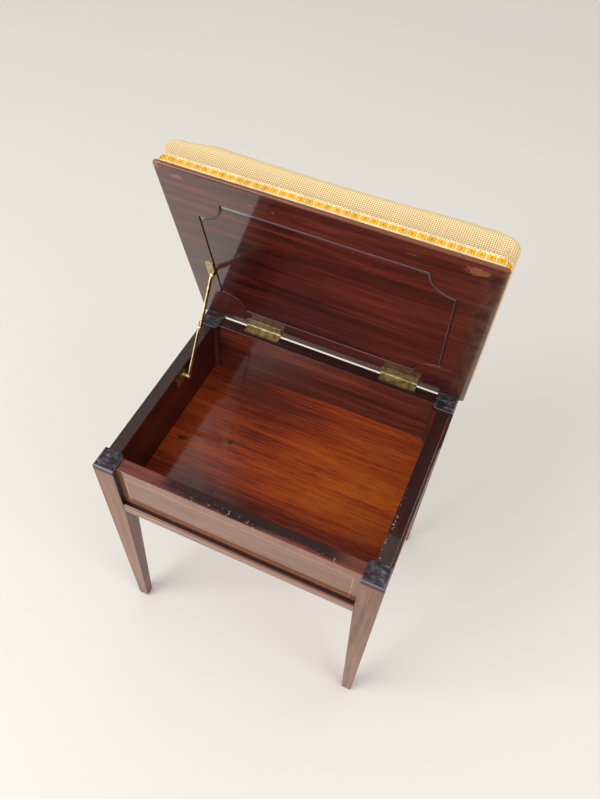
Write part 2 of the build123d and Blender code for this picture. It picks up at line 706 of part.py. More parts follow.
for hinge_name in HINGE_CENTRES:
    rail_seats = RAIL_LEAF_SEATS[hinge_name]
    lid_seats = LID_LEAF_SEATS[hinge_name]
    make_leaf(f"hinge_rail_leaf_{hinge_name}", hinge_name, BOX, -CLOSED_LEAF, 0, rail_seats)
    make_leaf(f"hinge_lid_leaf_{hinge_name}", hinge_name, LID, LEAF_PLAY, 1, lid_seats)
    make_hinge_pin(f"hinge_pin_{hinge_name}", hinge_name)
wood_screws("hinge_rail_screws", [seat for seats in RAIL_LEAF_SEATS.values() for seat in seats])
wood_screws("hinge_lid_screws", [seat for seats in LID_LEAF_SEATS.values() for seat in seats])

make_lid_board()
make_stuffing()
make_cover()
make_gimp()
make_tacks()

make_arm("stay_lower_arm", LOWER_ARM_X, WALL_PIVOT)
make_arm("stay_upper_arm", UPPER_ARM_X, LID_PIVOT)
make_wall_bracket()
make_lid_bracket()
wood_screws("stay_wall_screws", WALL_PLATE_SEATS)
wood_screws("stay_lid_screws", LID_PLATE_SEATS)
arm_end = LOWER_ARM_X + ARM_THICKNESS
wall_axis = Plane((0, WALL_PIVOT.Y, WALL_PIVOT.Z), (0, 1, 0), (1, 0, 0))
lid_axis = Plane((0, LID_PIVOT.Y, LID_PIVOT.Z), (0, 1, 0), (1, 0, 0))
elbow_axis = Plane((0, ELBOW.Y, ELBOW.Z), (0, 1, 0), (1, 0, 0))
rivet("stay_wall_rivet", wall_axis, WELL_LEFT, arm_end + ARM_GAP / 2, True)
rivet("stay_lid_rivet", lid_axis, UPPER_ARM_X, LID_EAR_X + PLATE_THICKNESS, True)
rivet("stay_elbow_rivet", elbow_axis, UPPER_ARM_X, UPPER_ARM_X + ARM_THICKNESS, True)
rivet("stay_elbow_tail", elbow_axis, LOWER_ARM_X, arm_end, False)
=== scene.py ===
"""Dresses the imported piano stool: polished wood, aged brass, canvas seat and gimp braid.

Everything is in metres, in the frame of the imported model: X along the front rail, Y towards the
hinges, Z up, with the origin on the floor between the legs. The lid stands raised at rest.
"""
import json
import math
from functools import partialmethod

import bmesh
import bpy
from bpy.props import FloatProperty, FloatVectorProperty, PointerProperty
from mathutils import Matrix, Vector


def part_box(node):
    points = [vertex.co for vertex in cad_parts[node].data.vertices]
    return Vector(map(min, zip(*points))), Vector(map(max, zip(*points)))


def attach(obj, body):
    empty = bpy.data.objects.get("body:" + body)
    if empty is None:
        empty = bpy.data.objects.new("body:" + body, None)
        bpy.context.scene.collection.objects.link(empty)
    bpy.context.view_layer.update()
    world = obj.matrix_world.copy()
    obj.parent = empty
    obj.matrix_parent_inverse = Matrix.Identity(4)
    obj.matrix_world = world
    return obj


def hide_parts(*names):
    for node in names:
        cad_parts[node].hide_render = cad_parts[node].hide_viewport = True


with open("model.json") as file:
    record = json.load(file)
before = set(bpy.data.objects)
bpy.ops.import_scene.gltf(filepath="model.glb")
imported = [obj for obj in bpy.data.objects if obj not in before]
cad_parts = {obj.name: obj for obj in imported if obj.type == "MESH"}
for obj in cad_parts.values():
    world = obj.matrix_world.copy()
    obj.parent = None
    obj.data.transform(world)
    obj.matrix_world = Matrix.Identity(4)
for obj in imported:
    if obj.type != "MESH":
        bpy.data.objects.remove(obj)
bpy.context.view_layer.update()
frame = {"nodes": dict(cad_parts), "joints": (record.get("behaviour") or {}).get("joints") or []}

bl_info = {
    "name": "Piano stool",
    "version": (1, 0, 0),
    "blender": (4, 5, 0),
    "location": "3D View > Sidebar > Stool",
    "description": "Dresses the packed piano stool with its seat, braid and finishes",
    "category": "Object",
}

# The hinge line and the lid's own frame, in which the lid lies closed with its underside down
LID_JOINT = next(j for j in frame["joints"] if j["name"] == "lid_hinge")
HINGE = Vector(LID_JOINT["pos_m"])
LID_ANGLE = math.radians(LID_JOINT["range_deg"][1])
LID_TO_ROW = Matrix.Translation(HINGE) @ Matrix.Rotation(-LID_ANGLE, 4, "X")

SIDES = ("left", "right")
LEGS = [f"leg_{end}_{side}" for end in ("front", "back") for side in SIDES]
HINGE_NODES = [f"hinge_{piece}_{side}" for piece in ("rail_leaf", "lid_leaf", "pin") for side in SIDES]
SCREW_NODES = ["hinge_rail_screws", "hinge_lid_screws", "stay_wall_screws", "stay_lid_screws"]
STAY_NODES = [
    f"stay_{piece}"
    for piece in ("wall_bracket", "wall_rivet", "lid_bracket", "lid_rivet")
    + ("upper_arm", "lower_arm", "elbow_rivet", "elbow_tail")
]


def swatch(name, description, default):
    """Colour that a user may change, as linear red, green and blue."""
    return FloatVectorProperty(
        name=name, description=description, default=default, subtype="COLOR", min=0.0, max=1.0
    )


def number(name, description, default, **kind):
    """Number that a user may change."""
    return FloatProperty(name=name, description=description, default=default, **kind)


def length(name, description, default):
    """Length that a user may change, in metres."""
    return number(name, description, default, unit="LENGTH", precision=5)


def angle(name, description, degrees):
    """Angle that a user may change."""
    return number(name, description, math.radians(degrees), subtype="ANGLE")


class StoolSizes(bpy.types.PropertyGroup):
    """Sizes of the seat and its braid."""

    voxel: length("Cushion voxel", "Mesh spacing of the seat before it is swollen", 0.005)
    corner: length("Cushion corner", "Plan radius of the seat's corners", 0.014)
    shoulder: length("Cushion shoulder", "Rounding of the seat's upper edge", 0.011)
    tuck: length("Cushion tuck", "Rounding of the seat's lower edge", 0.001)
    slack: length("Cushion slack", "How much smaller the seat starts on each side", 0.003)
    crown: length("Cushion crown", "Rise of the seat's middle above its shoulder", 0.009)
    drop: length("Cushion drop", "How much lower the seat starts than it ends", 0.0045)
    swell: length("Cushion swell", "Rise of the seat's rim beside its corners", 0.012)
    ends: length("Cushion ends", "Drop of the seat's rim at its corners", 0.008)
    slump: length("Cushion slump", "Further drop of the seat's left end", 0.004)
    hem: length("Cushion hem", "Height of the seat's hem behind the braid", 0.008)
    waist: length("Cushion waist", "How far the seat's hem is drawn in", 0.0036)
    roll: length("Cushion roll", "Height above the hem over which the seat swells", 0.013)
    belly: length("Cushion belly", "How far the seat's two ends swell outwards", 0.0060)
    cap: length("Cushion cap", "Furthest that a point of the seat may swell", 0.004)
    growth: number("Cushion growth", "Share by which the cloth grows as it swells", 0.01)
    pressure: number("Cushion pressure", "Pressure that swells the seat", 4.0, min=0.0)
    gimp_pitch: length("Braid pitch", "Length of one repeat of the braid", 0.0122)
    gimp_cord: length("Braid cord", "Radius of the braid's cords", 0.00070)


class StoolColours(bpy.types.PropertyGroup):
    """Colours of the woods, the brass and the cloths."""

    polish_dark: swatch("Polish dark", "Darkest grain of the polished wood", (0.024, 0.004, 0.003))
    polish_mid: swatch("Polish middle", "Main tone of the polished wood", (0.088, 0.015, 0.009))
    polish_light: swatch("Polish light", "Palest grain of the polished wood", (0.190, 0.044, 0.021))
    panel_dark: swatch("Panel dark", "Darkest grain of the lid's panel", (0.014, 0.002, 0.002))
    panel_mid: swatch("Panel middle", "Main tone of the lid's panel", (0.055, 0.006, 0.005))
    panel_light: swatch("Panel light", "Palest grain of the lid's panel", (0.140, 0.022, 0.013))
    rail_dark: swatch("Front dark", "Darkest grain of the front rail", (0.065, 0.024, 0.015))
    rail_mid: swatch("Front middle", "Main tone of the front rail", (0.205, 0.078, 0.040))
    rail_light: swatch("Front light", "Palest grain of the front rail", (0.290, 0.140, 0.078))
    # Painted highlight on the mouldings' rounded nose
    moulding_nose_highlight: swatch("Moulding nose", "Rubbed nose of the mouldings", (0.220, 0.056, 0.013))
    board_dark: swatch("Well dark", "Darkest streaks of the well's floor", (0.090, 0.012, 0.004))
    board_mid: swatch("Well middle", "Main tone of the well's floor", (0.280, 0.038, 0.007))
    board_light: swatch("Well light", "Flame figure of the well's floor", (0.490, 0.098, 0.007))
    # Partly a rubbed edge, partly a painted reflection of the braid in the board's edge
    lid_rim: swatch("Lid rim", "Rubbed edge of the lid board", (0.240, 0.075, 0.020))
    # Painted highlight: pale lilac tint on the lid groove's upward walls and on the legs' top arris
    painted_highlight: swatch("Painted highlight", "Pale bloom on the groove's lip", (0.400, 0.375, 0.490))
    front_top: swatch("Front top", "Red polish on top of the front rail", (0.135, 0.018, 0.008))
    handled_brown: swatch("Handled brown", "Dulled margin of the lid", (0.115, 0.052, 0.026))
    # Rubbed black polish, also used as painted shade in the legs' recesses and in the lid's groove
    worn_black_and_shade: swatch("Worn black and shade", "Dark, rubbed polish on the tops", (0.016, 0.008, 0.009))
    worn_pale: swatch("Worn pale", "Bare wood where the polish is gone", (0.400, 0.215, 0.115))
    worn_tan: swatch("Worn tan", "Rubbed patches on the lid", (0.310, 0.120, 0.052))
    top_grey: swatch("Top grey", "Middle tone of the legs' tops", (0.045, 0.039, 0.046))
    top_pale: swatch("Top pale", "Palest scuffs of the legs' tops", (0.160, 0.145, 0.155))
    # Chips, partly painted glints of light on the right rail's edge
    chip_and_glint: swatch("Chips", "Chips along the right rail", (0.500, 0.440, 0.440))
    line_wood: swatch("Inlaid line", "Boxwood line on the front", (0.400, 0.170, 0.060))
    hinge_brass: swatch("Hinge brass", "Aged brass of the hinges", (0.480, 0.385, 0.215))
    stay_brass: swatch("Stay brass", "Rubbed brass of the stay", (0.660, 0.530, 0.290))
    tack_dark: swatch("Tack dark", "Darker tone of the tacks' steel", (0.060, 0.060, 0.070))
    tack_light: swatch("Tack light", "Paler tone of the tacks' steel", (0.160, 0.160, 0.180))
    canvas: swatch("Canvas", "Main tone of the seat's canvas", (0.940, 0.730, 0.385))
    # Painted shade, darker low on the seat's sides
    canvas_shade: swatch("Canvas shade", "Soiled canvas low on the sides", (0.690, 0.520, 0.290))
    weave_shade: swatch("Weave shade", "Tint of the gaps in the weave", (0.340, 0.270, 0.200))
    gimp_gold: swatch("Braid gold", "Golden ground of the braid", (0.960, 0.760, 0.340))
    gimp_cream: swatch("Braid cream", "Cream loops of the braid", (0.990, 0.890, 0.620))
    gimp_orange: swatch("Braid orange", "Orange scrolls of the braid", (0.950, 0.470, 0.003))
    gimp_amber: swatch("Braid amber", "Dark hearts of the rosettes", (0.800, 0.330, 0.003))
    floor: swatch("Floor", "Pale studio floor", (0.730, 0.700, 0.655))


class StoolStage(bpy.types.PropertyGroup):
    """Camera and light of the studio."""

    camera_place: FloatVectorProperty(
        name="Camera",
        description="Where the camera stands",
        default=(0.2415, -0.5647, 1.3823),
        subtype="TRANSLATION",
        unit="LENGTH",
    )
    camera_yaw: angle("Yaw", "Turn of the camera to the right of +Y", -21.15)
    camera_pitch: angle("Pitch", "How far the camera looks down", 52.75)
    camera_roll: angle("Roll", "Lean of the camera about its line of sight", -3.60)
    camera_lens: number("Lens", "Focal length for a 36 mm long side", 31.09, unit="CAMERA")
    floor_reach: length("Floor reach", "Half the width of the floor", 9.0)
    key_energy: number("Key", "Power of the main soft light", 82.0)
    fill_energy: number("Fill", "Power of the light on the right", 30.0)
    sky_strength: number("Sky", "Strength of the even light", 0.80)


# How much a noise bends the edge of a mark
RAGGED = 4.0

# Place on the grain's ramp of a wood's main tone
GRAIN_MIDDLE = 0.52

# Normal's share upwards between which a face counts as a top
UPWARD = (0.75, 0.95)


# Node trees
class Graph:
    """Node tree of one material, with short calls that each add nodes and return an output.

    Its place is the row's coordinates, or the closed lid's from its hinge line. A tone may be given by
    the name of its colour.
    """

    def __init__(self, name, colours=None, of_lid=False):
        self.colours = colours
        self.material = bpy.data.materials.new(name)
        self.material.use_nodes = True
        self.tree = self.material.node_tree
        self.tree.nodes.clear()
        self.surface = self.node("BsdfPrincipled")
        self.node("OutputMaterial", {"Surface": self.surface.outputs["BSDF"]})
        self.texture = self.node("TexCoord")
        self.place = self.texture.outputs["Object"]
        if of_lid:
            sockets = {"Vector": self.place, "Location": HINGE, "Rotation": (-LID_ANGLE, 0, 0)}
            mapping = self.node("Mapping", sockets, vector_type="TEXTURE")
            self.place = mapping.outputs["Vector"]

    def feed(self, socket, value):
        """Link a socket to an output, or set it to a constant."""
        if isinstance(value, bpy.types.NodeSocket):
            self.tree.links.new(value, socket)
        elif socket.type == "RGBA":
            socket.default_value = self.tone(value)
        else:
            socket.default_value = value

    def tone(self, value):
        """Red, green, blue and alpha of a colour or of a colour's name."""
        colour = getattr(self.colours, value) if isinstance(value, str) else value
        return (*colour, 1.0)

    def node(self, kind, sockets=None, **settings):
        """Add a shader node, set its own properties and feed its sockets, by name or number."""
        made = self.tree.nodes.new(f"ShaderNode{kind}")
        for key, value in settings.items():
            setattr(made, key, value)
        for key, value in (sockets or {}).items():
            self.feed(made.inputs[key], value)
        return made

    def finish(self, **sockets):
        """Set the shader's sockets, with spaces in their names written as underscores."""
        for key, value in sockets.items():
            self.feed(self.surface.inputs[key.replace("_", " ")], value)
        return self.material

    def split(self, vector):
        """X, Y and Z of a vector."""
        return tuple(self.node("SeparateXYZ", {0: vector}).outputs)

    def normal(self):
        """Surface normal in the row's own axes, as X, Y and Z."""
        return self.split(self.texture.outputs["Normal"])

    def scaled(self, vector, scale, offset=(0, 0, 0)):
        """Vector times a scale on all axes or on each, plus an offset."""
        scales = scale if isinstance(scale, tuple) else (scale,) * 3
        sockets = {"Vector": vector, "Scale": scales, "Location": offset}
        return self.node("Mapping", sockets).outputs["Vector"]

    def noise(self, scale, detail=3.0, roughness=0.5, distortion=0.0, vector=None):
        """Fractal noise from 0 to 1 at the place or at a vector, by its repeats a metre."""
        sockets = {
            "Vector": self.scaled(self.place if vector is None else vector, scale),
            "Scale": 1.0,
            "Detail": detail,
            "Roughness": roughness,
            "Distortion": distortion,
        }
        return self.node("TexNoise", sockets).outputs["Fac"]

    def math(self, operation, *values, clamp=False):
        """Arithmetic on one, two or three values."""
        sockets = dict(enumerate(values))
        return self.node("Math", sockets, operation=operation, use_clamp=clamp).outputs[0]

    def fold(self, operation, first, *others):
        """Arithmetic on any number of values, from the left."""
        for other in others:
            first = self.math(operation, first, other)
        return first

    times = partialmethod(fold, "MULTIPLY")
    plus = partialmethod(fold, "ADD")
    minus = partialmethod(fold, "SUBTRACT")
    most = partialmethod(fold, "MAXIMUM")

    def band(self, value, low, high, to_low=0.0, to_high=1.0):
        """Value mapped from low..high to 0..1, or to other ends, and smooth at both."""
        sockets = {"Value": value, "From Min": low, "From Max": high}
        sockets |= {"To Min": to_low, "To Max": to_high}
        settings = {"interpolation_type": "SMOOTHSTEP", "clamp": True}
        return self.node("MapRange", sockets, **settings).outputs["Result"]

    def near(self, value, edge, reach, *ends):
        """Band between two distances from an edge."""
        return self.band(value, edge + reach[0], edge + reach[1], *ends)

    def spot(self, across, along, place, size, ragged):
        """One inside an oval at a place, falling to nothing at an edge made ragged by a noise."""
        total = self.times(self.minus(ragged, 0.5), RAGGED)
        for value, middle, half in zip((across, along), place, size):
            share = self.math("DIVIDE", self.minus(value, middle), half)
            total = self.plus(total, self.times(share, share))
        return self.band(total, 1.0, 0.4)

    def mix(self, factor, a, b, blend="MIX"):
        """Mix of two colours."""
        sockets = {"Factor": factor, 6: a, 7: b}
        return self.node("Mix", sockets, data_type="RGBA", blend_type=blend).outputs[2]

    def tint(self, colour, tone, *shares):
        """Colour mixed towards a tone by the product of some shares."""
        return self.mix(self.times(*shares), colour, tone)

    def ramp(self, factor, *stops):
        """Colour along a ramp of (place, colour) stops."""
        made = self.node("ValToRGB", {"Fac": factor})
        elements = made.color_ramp.elements
        while len(elements) < len(stops):
            elements.new(1.0)
        for element, (place, colour) in zip(elements, stops):
            element.position = place
            element.color = self.tone(colour)
        return made.outputs["Color"]

    def bump(self, height, strength, distance):
        """Normal bent by a height."""
        sockets = {"Strength": strength, "Distance": distance, "Height": height}
        return self.node("Bump", sockets).outputs["Normal"]

    def grain(self, axis, tones, figure=0.35, spread=0.7, vector=None):
        """Colour and fine height of polished wood: grain along an axis, contrast set by the spread."""

        def streaky(along, across, detail, distortion=0.0):
            """Noise stretched along the grain, by its repeats a metre."""
            scale = tuple(along if i == axis else across for i in range(3))
            return self.noise(scale, detail, distortion=distortion, vector=vector)

        dark, mid, light = tones
        cloud = streaky(3.0, 11.0, 2.0, 0.6)
        bands = streaky(5.0, 95.0, 4.0, figure)
        streaks = streaky(22.0, 620.0, 3.0)
        pores = streaky(70.0, 1500.0, 1.0)
        tone = self.math("MULTIPLY_ADD", bands, 0.55, -0.02)
        tone = self.plus(tone, self.times(cloud, 0.30), self.times(streaks, 0.22))
        low, high = GRAIN_MIDDLE - 0.22 * spread, GRAIN_MIDDLE + 0.28 * spread
        colour = self.ramp(tone, (low, dark), (GRAIN_MIDDLE, mid), (high, light))
        holes = self.band(pores, 0.60, 0.70)
        colour = self.tint(colour, dark, holes, 0.55)
        return colour, self.minus(self.times(streaks, 0.5), holes)

    def polish(self, colour, height, coat_roughness=0.07, coat=1.0):
        """Polished wood under a clear, slightly uneven coat."""
        return self.finish(
            Base_Color=colour,
            Roughness=0.34,
            Specular_IOR_Level=0.12,
            Normal=self.bump(height, 0.10, 0.0004),
            Coat_Weight=coat,
            Coat_Roughness=coat_roughness,
            Coat_IOR=1.55,
        )


# Dark, middle and light tone of each wood
POLISH = ("polish_dark", "polish_mid", "polish_light")
PANEL = ("panel_dark", "panel_mid", "panel_light")
RAIL = ("rail_dark", "rail_mid", "rail_light")


def dark_top(graph, colour):
    """Darken the faces that look upwards, and return where they are."""
    top = graph.band(graph.normal()[2], *UPWARD)
    cloud = graph.noise(25.0, distortion=0.8)
    shade = graph.mix(graph.band(cloud, 0.42, 0.75), "worn_black_and_shade", "polish_dark")
    return graph.tint(colour, shade, top, 0.85), top


# Legs: weight of the coat, where the dark band and the painted highlight on the arris start and are
# full from the top, how much the band wobbles, where the painted shade in the recess starts above the
# rails' foot, and shift of the front's grain
LEG_COAT = 0.48
LEG_BAND = (-0.0100, -0.0075)
LEG_WOBBLE = 0.003
LEG_ARRIS_HIGHLIGHT = (-0.0024, -0.0020)
LEG_RECESS = (0.0, 0.004)
LEG_SHIFT = (0.31, 0.17, 0.0)


def leg_material(colours):
    """Leg: upright grain, dark band under a painted highlight on the arris, painted shade in the recess
    beside the rails, clouded charcoal top.
    """
    graph = Graph("leg_polish", colours)
    colour, height = graph.grain(2, POLISH)
    x, y, z = graph.split(graph.place)
    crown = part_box(LEGS[0])[1].z
    rail_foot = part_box("moulding_front")[0].z
    front = graph.band(graph.normal()[1], -0.5, -0.9)
    seen = graph.most(graph.math("LESS_THAN", y, 0.0), graph.math("LESS_THAN", z, rail_foot))
    shifted = graph.scaled(graph.place, 1.0, LEG_SHIFT)
    pale, _ = graph.grain(2, RAIL, vector=shifted)
    colour = graph.tint(colour, pale, front, seen)
    level = graph.plus(z, graph.times(graph.noise(45.0, detail=2.0), LEG_WOBBLE))
    black = graph.near(level, crown, LEG_BAND)
    colour = graph.tint(colour, "worn_black_and_shade", black, 0.90)
    # Painted shade: the inward faces beside the rails' ends, where the rails sit back, go near black
    inward = graph.times(graph.normal()[0], graph.math("SIGN", x))
    recess = graph.times(graph.band(inward, -0.5, -0.9), graph.near(z, rail_foot, LEG_RECESS))
    colour = graph.tint(colour, "worn_black_and_shade", recess, 0.9)
    # Painted highlight: pale lilac tint along the top arris
    arris = graph.near(z, crown, LEG_ARRIS_HIGHLIGHT)
    colour = graph.tint(colour, "painted_highlight", arris, 0.30)
    scuff = graph.noise((75.0, 120.0, 75.0), detail=6.0, roughness=0.68, distortion=0.2)
    cloud = graph.ramp(scuff, (0.40, "worn_black_and_shade"), (0.54, "top_grey"), (0.70, "top_pale"))
    colour = graph.tint(colour, cloud, graph.band(graph.normal()[2], 0.85, 0.97))
    dull = graph.most(black, recess)
    coat = graph.band(dull, 0.0, 1.0, LEG_COAT, 0.4 * LEG_COAT)
    return graph.polish(colour, height, coat=coat)


# Chips on the right rail, partly painted glints: reach in from its inner edge, and stretch of the rail
# that they are on
CHIP_REACH = (0.0075, 0.0030)
CHIP_STRETCH = (0.0, -0.08)

# Coat of the side and back rails, on their faces and on their tops
RAIL_COAT = {"back": (1.0, 0.3), "left": (0.6, 0.7), "right": (1.0, 0.7)}


def rail_material(colours, side):
    """Side or back rail: grain along the rail, dark rubbed top, painted shade on the left rail's inner
    face, and chips on the right rail that are partly painted glints.
    """
    graph = Graph(f"rail_polish_{side}", colours)
    axis = 0 if side == "back" else 1
    colour, height = graph.grain(axis, PANEL if side == "left" else POLISH)
    if side == "left":
        # Painted shade on the left rail's inner face, towards the well
        inside = graph.band(graph.normal()[0], 0.5, 0.9, 0.0, 0.5)
        colour = graph.tint(colour, "panel_dark", inside)
    colour, top = dark_top(graph, colour)
    if side == "right":
        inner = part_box("rail_right")[0].x
        x, y, _ = graph.split(graph.place)
        edge = graph.times(graph.near(x, inner, CHIP_REACH), graph.band(y, *CHIP_STRETCH))
        # Chips, partly painted glints along the inner edge
        chip = graph.band(graph.noise(420.0, detail=2.0), 0.62, 0.68)
        colour = graph.tint(colour, "chip_and_glint", chip, edge, top)
    coat = graph.band(top, 0.0, 1.0, *RAIL_COAT[side])
    return graph.polish(colour, height, coat=coat)


# Wear on top of the front rail: its left and right end, its reach from the inner edge and the reach's
# wobble, and the flecks' reach from the outer edge
WORN_LEFT = (-0.145, -0.105)
WORN_RIGHT = (0.185, 0.140)
WORN_REACH = (-0.012, -0.002)
WORN_WOBBLE = 0.022
FLECK_REACH = (0.013, 0.005)


def front_rail_material(colours):
    """Front rail: streaky veneer within the inlaid line, upright grain in the border, worn top."""
    graph = Graph("rail_polish_front", colours)
    field, height = graph.grain(0, RAIL, figure=0.6, spread=1.0)
    border, _ = graph.grain(2, RAIL, figure=0.1, spread=2.0)
    low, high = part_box("stringing_front")
    x, y, z = graph.split(graph.place)
    outside = graph.most(
        graph.math("GREATER_THAN", graph.math("ABSOLUTE", x), high.x),
        graph.math("GREATER_THAN", z, high.z),
        graph.math("LESS_THAN", z, low.z),
    )
    colour = graph.mix(outside, field, border)
    well, _ = graph.grain(0, POLISH)
    colour = graph.tint(colour, well, graph.band(graph.normal()[1], 0.3, 0.8))
    top = graph.band(graph.normal()[2], *UPWARD)
    red, _ = graph.grain(0, ("polish_dark", "front_top", "board_mid"))
    colour = graph.tint(colour, red, top)
    outer, inner = (corner.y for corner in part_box("rail_front"))
    wobble = graph.noise((22.0, 40.0, 22.0))
    place = graph.math("MULTIPLY_ADD", wobble, WORN_WOBBLE, y)
    span = graph.times(graph.band(x, *WORN_LEFT), graph.band(x, *WORN_RIGHT), top)
    rubbed = graph.times(graph.near(place, inner, WORN_REACH), span)
    colour = graph.tint(colour, "worn_black_and_shade", rubbed, 0.9)
    fleck = graph.noise((120.0, 190.0, 120.0), detail=4.0, roughness=0.65)
    fleck = graph.times(graph.band(fleck, 0.57, 0.64), graph.band(wobble, 0.40, 0.56))
    arris = graph.near(y, outer, FLECK_REACH)
    colour = graph.tint(colour, "worn_pale", fleck, arris, span, 0.9)
    coat = graph.band(rubbed, 0.0, 1.0, 0.8, 0.15)
    return graph.polish(colour, height, coat=coat)


def moulding_material(colours, axis):
    """Moulding, its grain along an axis: painted shade on the ledge, a warm painted highlight on the
    nose, pale upright face.
    """
    graph = Graph(f"moulding_polish_{'xy'[axis]}", colours)
    face, height = graph.grain(axis, RAIL)
    _, _, up = graph.normal()
    # Painted highlight on the nose, which faces half up, and painted shade on the ledge, which faces up
    colour = graph.mix(graph.band(up, 0.10, 0.45), face, "moulding_nose_highlight")
    colour = graph.tint(colour, "polish_dark", graph.band(up, 0.70, 0.93))
    return graph.polish(colour, height)


# Marks on the lid's underside, from its middle and its hinge line: place, half size, strength
LID_RUBS = [
    ((0.204, -0.3475), (0.018, 0.0085), 0.62),
    ((-0.207, -0.3485), (0.012, 0.0045), 0.45),
    ((-0.240, -0.366), (0.012, 0.012), 0.80),
    ((-0.100, -0.336), (0.004, 0.0020), 0.60),
    ((-0.068, -0.336), (0.003, 0.0015), 0.60),
    ((0.121, -0.3413), (0.008, 0.0012), 0.35),
]

# Margin of the lid's grooved panel and radius of its scooped corners, as in the solid, and its blur
PANEL_MARGIN = 0.052
PANEL_SCOOP = 0.040
PANEL_BLUR = 0.0005


def panel_mask(graph, x, y, low, high):
    """One within the lid's grooved panel, nothing in its margin and its scooped corners."""
    half = (high - low) / 2
    across = graph.minus(graph.math("ABSOLUTE", x), half.x - PANEL_MARGIN)
    along = graph.math("ABSOLUTE", graph.minus(y, (low.y + high.y) / 2))
    along = graph.minus(along, half.y - PANEL_MARGIN)
    inside = graph.band(graph.most(across, along), PANEL_BLUR, -PANEL_BLUR)
    square = graph.plus(graph.times(across, across), graph.times(along, along))
    return graph.times(inside, graph.math("GREATER_THAN", square, PANEL_SCOOP**2))


# Lid: where the handled zone starts and is full from the right edge, the rubbed rim from the sides and
# from the front, the dulled nose from the front, and the margin without a groove from the edges. Then
# where the groove's wall starts and ends above the underside
HANDLED = (-0.036, -0.014)
SIDE_EDGE = (-0.0025, -0.0005)
FRONT_EDGE = (0.0025, 0.0005)
NOSE = (0.0045, 0.0022)
PLAIN = (-0.02, -0.03)
GROOVE_START = (0.0004, 0.0014)
GROOVE_END = (0.0030, 0.0024)


def lid_material(colours):
    """Lid board: dark red panel in a browner margin, rubbed corners and nicks, painted shade in the
    groove with a painted highlight on its upward walls, and a rim that is partly rubbed and partly a
    painted reflection of the braid.
    """
    graph = Graph("lid_polish", colours, of_lid=True)
    low, high = closed_box("lid_board")
    x, y, z = graph.split(graph.place)
    margin, height = graph.grain(0, POLISH, figure=0.6, spread=0.85)
    panel, _ = graph.grain(0, PANEL, figure=0.6, spread=0.55)
    inside = graph.band(panel_mask(graph, x, y, low, high), 0.0, 1.0, 0.55, 1.0)
    colour = graph.mix(inside, margin, panel)
    ragged = graph.noise((230.0, 300.0, 230.0), detail=4.0, roughness=0.7)
    for place, size, strength in LID_RUBS:
        rub = graph.spot(x, y, place, size, ragged)
        colour = graph.tint(colour, "worn_tan", rub, strength)
    mottle = graph.noise((55.0, 30.0, 55.0), detail=5.0, roughness=0.65)
    handled = graph.times(graph.near(x, high.x, HANDLED), graph.band(mottle, 0.36, 0.62))
    colour = graph.tint(colour, "handled_brown", handled, 0.55)
    nick = graph.noise((240.0, 420.0, 240.0), detail=1.0)
    colour = graph.tint(colour, "worn_pale", graph.band(nick, 0.785, 0.80, 0.0, 0.4))
    across = graph.math("ABSOLUTE", x)
    # Rim: partly rubbed wear, partly a painted reflection of the braid
    rim = graph.most(graph.near(across, high.x, SIDE_EDGE), graph.near(y, low.y, FRONT_EDGE))
    colour = graph.tint(colour, "lid_rim", rim, 0.6)
    deep = graph.times(graph.near(z, low.z, GROOVE_START), graph.near(z, low.z, GROOVE_END))
    reach = graph.math("ABSOLUTE", graph.minus(y, (low.y + high.y) / 2))
    reach = graph.minus(reach, (high.y - low.y) / 2)
    reach = graph.most(reach, graph.minus(across, high.x))
    groove = graph.times(deep, graph.band(reach, *PLAIN))
    # Painted shade in the groove, and a painted highlight on its walls that face up
    colour = graph.tint(colour, "worn_black_and_shade", groove, 0.9)
    lit = graph.band(graph.normal()[2], 0.45, 0.75)
    colour = graph.tint(colour, "painted_highlight", groove, lit, 0.78)
    coat = graph.near(y, low.y, NOSE, 1.0, 0.6)
    return graph.polish(colour, height, coat_roughness=0.06, coat=coat)


# Knots and smudges on the well's floor: place, half size
WELL_KNOTS = [
    ((-0.1006, 0.0042), (0.0045, 0.0060)),
    ((-0.0857, -0.0950), (0.0070, 0.0060)),
    ((-0.1813, -0.0228), (0.0120, 0.0050)),
]

# Shift of the back board's figure, so that the two boards differ
BOARD_SHIFT = 0.37

# Tone of the well's floor: paler towards the right with its flame figure, paler at the far left as a
# painted reflection, and darker away from its middle line as painted shade towards the walls: two
# places and the change of tone at each
WELL_RIGHT = (-0.10, 0.19, -0.045, 0.075)
WELL_LEFT_REFLECTION = (-0.12, -0.19, 0.0, 0.05)
WELL_WALL_SHADE = (0.03, 0.13, 0.02, -0.07)
WELL_MIDDLE = 0.02


